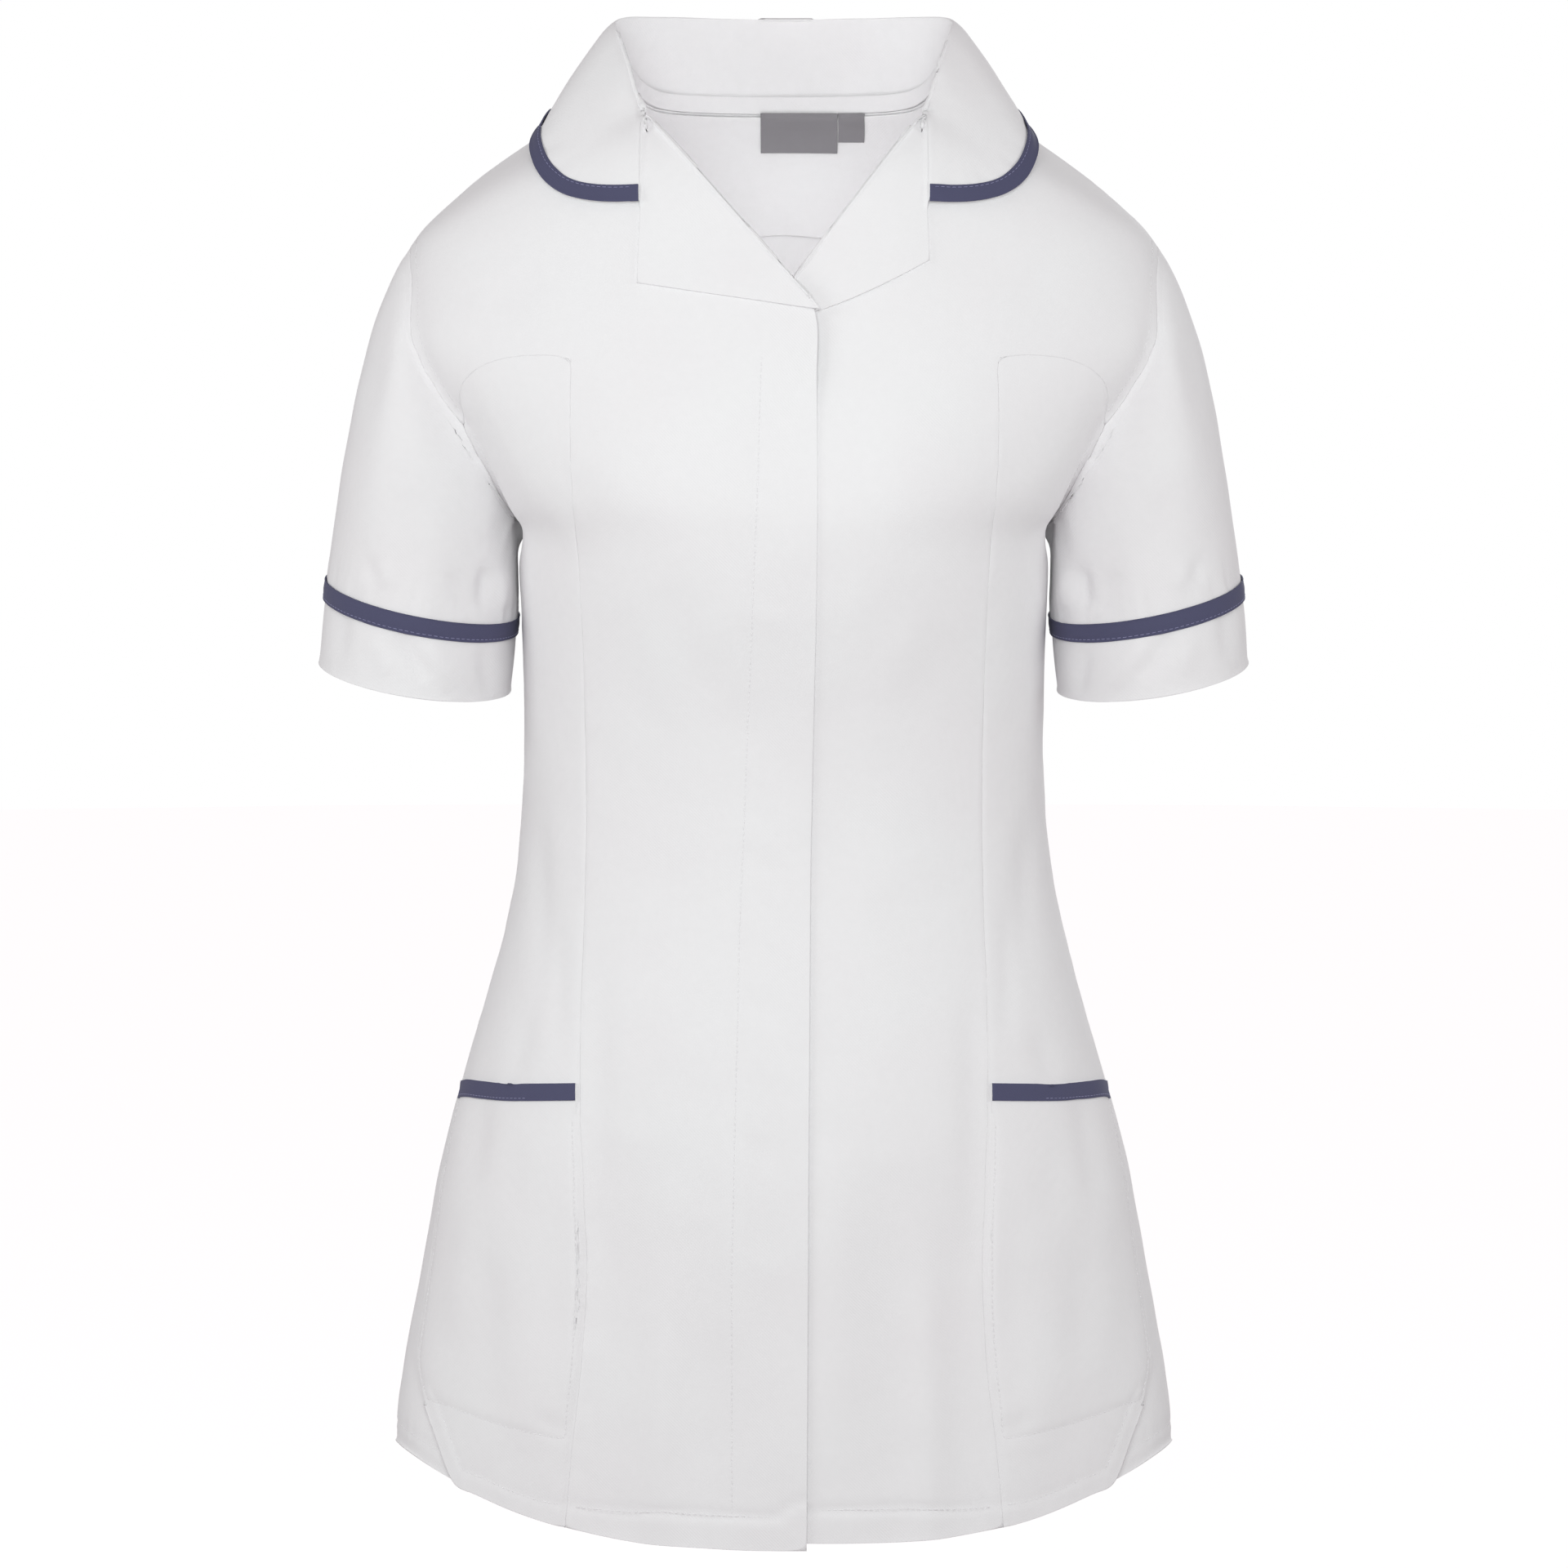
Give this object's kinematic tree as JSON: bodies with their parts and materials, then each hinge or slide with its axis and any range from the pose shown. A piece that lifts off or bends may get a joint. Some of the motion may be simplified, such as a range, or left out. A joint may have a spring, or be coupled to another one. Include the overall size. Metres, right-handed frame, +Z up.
{
  "type": "medical tunic",
  "caption": "Short-sleeved fitted medical tunic in white cloth with a notched collar, concealed front fastening, princess seams, slate edging tape and patch pockets at the hips.",
  "frame": {"origin": "middle of the neck, level with the highest points of the shoulder seams, where the wearer's neck and shoulders hold the tunic up", "axes": "+Z up along the wearer, -Y out of the tunic's front, +X towards the wearer's left"},
  "size_m": [0.4778, 0.2569, 0.7656],
  "materials": {
    "white_cloth": "white plain-weave polyester and cotton workwear cloth, matt",
    "slate_tape": "slate blue folded edging tape, matt",
    "white_tape": "white woven seam tape, matt",
    "grey_label": "grey woven satin label, blank, slight sheen"
  },
  "bodies": {
    "root": {"front_right": "white_cloth", "front_left": "white_cloth", "side_front_right": "white_cloth", "side_front_left": "white_cloth", "back": "white_cloth", "sleeve_right": "white_cloth", "sleeve_left": "white_cloth", "cuff_right": "white_cloth", "cuff_left": "white_cloth", "sleeve_tape_right": "slate_tape", "sleeve_tape_left": "slate_tape", "collar": "white_cloth", "collar_trim": "slate_tape", "lapel_right": "white_cloth", "lapel_left": "white_cloth", "neck_tape": "white_tape", "back_neck_facing": "white_cloth", "pocket_right": "white_cloth", "pocket_left": "white_cloth", "pocket_tape_right": "slate_tape", "pocket_tape_left": "slate_tape", "neck_label": "grey_label", "size_tab": "grey_label"}
  },
  "joints": []
}
